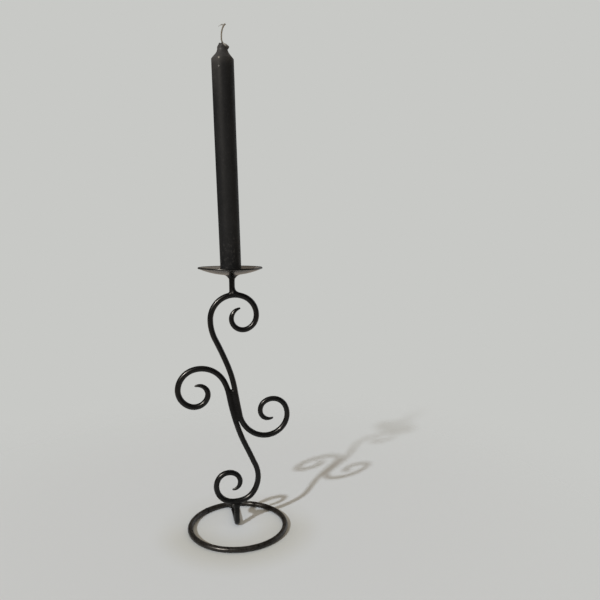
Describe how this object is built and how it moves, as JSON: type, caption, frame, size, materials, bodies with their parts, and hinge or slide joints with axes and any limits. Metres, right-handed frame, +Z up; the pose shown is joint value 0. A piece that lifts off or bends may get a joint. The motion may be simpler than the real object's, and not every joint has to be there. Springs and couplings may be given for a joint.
{
  "type": "spiral candle holder",
  "caption": "Black wrought-iron candle holder: two S-scrolls lapped and welded on a ring base carry a spiked drip pan, with a tall straight candle that lifts off.",
  "frame": {"origin": "centre of the base ring, on the surface that the holder stands on", "axes": "+Z up; the two scrolls lie in a plane square to Y; the foot bar runs to +Y, which is the back; the large arm curl points to -X"},
  "size_m": [0.1286, 0.116, 0.5464],
  "materials": {
    "black_iron": "semi-gloss black paint over forged round bar",
    "weld_bead": "semi-gloss black paint over a smooth weld",
    "pan_enamel": "glossy black paint over dished sheet",
    "spike_steel": "dull dark steel, scraped by candles",
    "black_wax": "satin black candle wax with a faint bloom",
    "wick_cotton": "braided cotton, waxed, unlit"
  },
  "bodies": {
    "stand": {"base_ring": "black_iron", "ring_butt_weld": "weld_bead", "leg": "black_iron", "weld_leg_ring": "weld_bead", "weld_leg_scroll": "weld_bead", "lower_scroll": "black_iron", "upper_scroll": "black_iron", "weld_lap_front": "weld_bead", "weld_lap_back": "weld_bead", "stem": "black_iron", "weld_stem_scroll": "weld_bead", "weld_stem_pan": "weld_bead", "drip_pan": "pan_enamel", "candle_spike": "spike_steel"},
    "candle": {"candle": "black_wax", "wick": "wick_cotton"}
  },
  "joints": [
    {"name": "candle_lift", "type": "slide", "parent": "stand", "child": "candle", "axis": [0, 0, 1], "range_m": [0, 0.03]}
  ]
}
